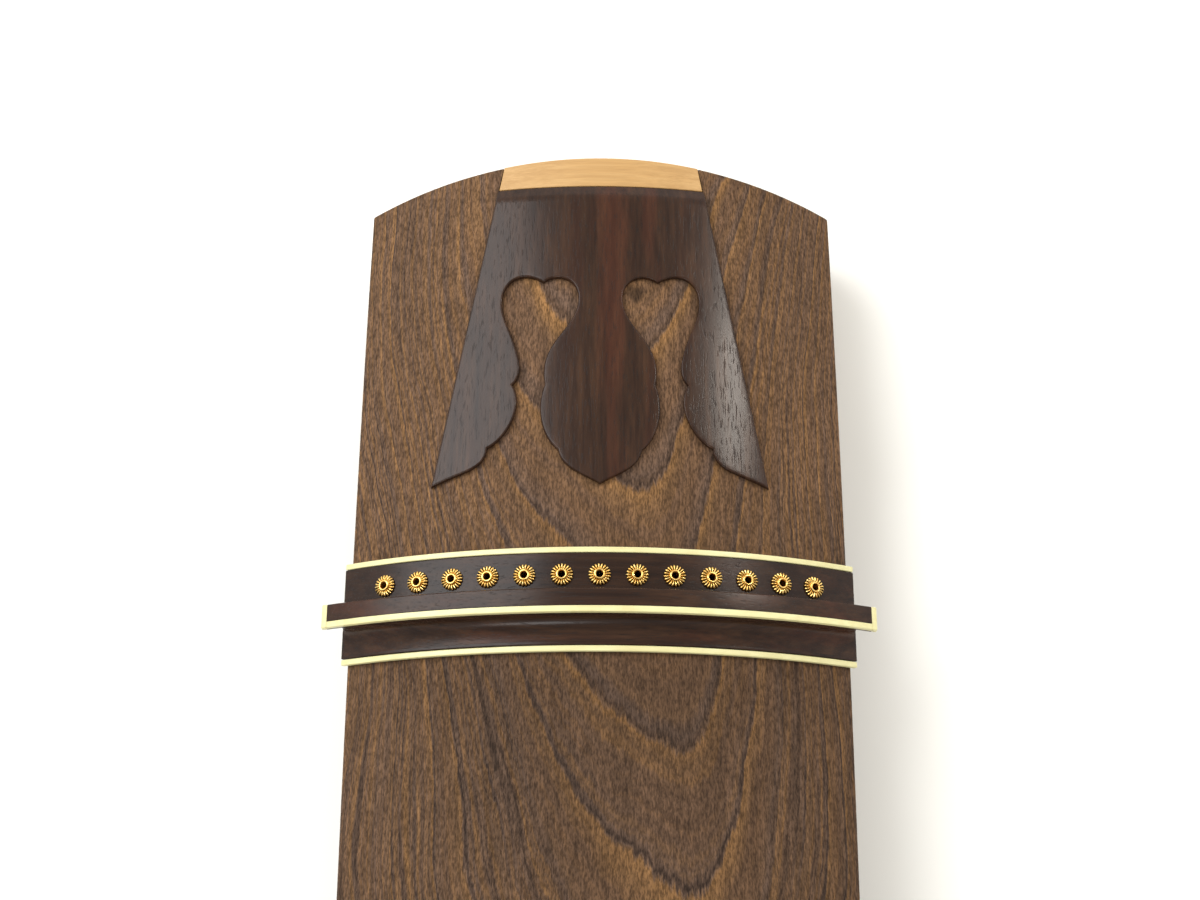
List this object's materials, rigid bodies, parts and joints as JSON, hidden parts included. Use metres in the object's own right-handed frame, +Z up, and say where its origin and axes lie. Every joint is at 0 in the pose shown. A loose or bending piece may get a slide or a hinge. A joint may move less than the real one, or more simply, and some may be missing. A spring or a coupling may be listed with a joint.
{
  "type": "koto",
  "caption": "Long bowed hollow zither body without strings: ivory-lined ridge with gilt eyelets near each end, leaf-shaped overlay, hind feet and a pull-off foreleg stand.",
  "frame": {"origin": "on the standing surface, midway between the sides and between the two ends", "axes": "+Z up, +Y towards the tail, +X to the right when looking from the head to the tail"},
  "size_m": [0.2788, 1.829, 0.1761],
  "materials": {
    "paulownia": "scorched and polished open-grained paulownia",
    "plain_wood": "plain sawn softwood",
    "rosewood": "satin dark rosewood",
    "pale_wood": "satin pale hardwood",
    "ivory": "semi-gloss cream, imitation ivory",
    "gilt": "bright gilt stamped brass"
  },
  "bodies": {
    "koto": {"top_shell": "paulownia", "back_board": "paulownia", "tail_end_block": "paulownia", "head_baffle": "plain_wood", "tail_baffle": "plain_wood", "inner_brace_1": "plain_wood", "inner_brace_2": "plain_wood", "inner_brace_3": "plain_wood", "head_end_board": "rosewood", "head_tongue": "rosewood", "side_strip_left": "rosewood", "side_strip_right": "rosewood", "oak_leaf_overlay": "rosewood", "tail_ridge_base": "rosewood", "tail_ridge_bar": "rosewood", "head_ridge_base": "rosewood", "head_ridge_bar": "rosewood", "hind_foot_left": "rosewood", "hind_foot_right": "rosewood", "tail_string_rest": "pale_wood", "head_tongue_border": "ivory", "tail_ridge_inner_border": "ivory", "tail_ridge_outer_border": "ivory", "tail_ridge_crest_strip": "ivory", "tail_ridge_cap_left": "ivory", "tail_ridge_cap_right": "ivory", "head_ridge_inner_border": "ivory", "head_ridge_outer_border": "ivory", "head_ridge_crest_strip": "ivory", "head_ridge_cap_left": "ivory", "head_ridge_cap_right": "ivory", "tail_eyelet_1": "gilt", "tail_eyelet_2": "gilt", "tail_eyelet_3": "gilt", "tail_eyelet_4": "gilt", "tail_eyelet_5": "gilt", "tail_eyelet_6": "gilt", "tail_eyelet_7": "gilt", "tail_eyelet_8": "gilt", "tail_eyelet_9": "gilt", "tail_eyelet_10": "gilt", "tail_eyelet_11": "gilt", "tail_eyelet_12": "gilt", "tail_eyelet_13": "gilt", "head_eyelet_1": "gilt", "head_eyelet_2": "gilt", "head_eyelet_3": "gilt", "head_eyelet_4": "gilt", "head_eyelet_5": "gilt", "head_eyelet_6": "gilt", "head_eyelet_7": "gilt", "head_eyelet_8": "gilt", "head_eyelet_9": "gilt", "head_eyelet_10": "gilt", "head_eyelet_11": "gilt", "head_eyelet_12": "gilt", "head_eyelet_13": "gilt"},
    "foreleg_stand": {"stand_leg_left": "rosewood", "stand_leg_right": "rosewood", "stand_rail": "rosewood"}
  },
  "joints": [
    {"name": "stand_pull_off", "type": "slide", "parent": "koto", "child": "foreleg_stand", "axis": [0, 0, -1], "range_m": [0, 0.014]}
  ]
}
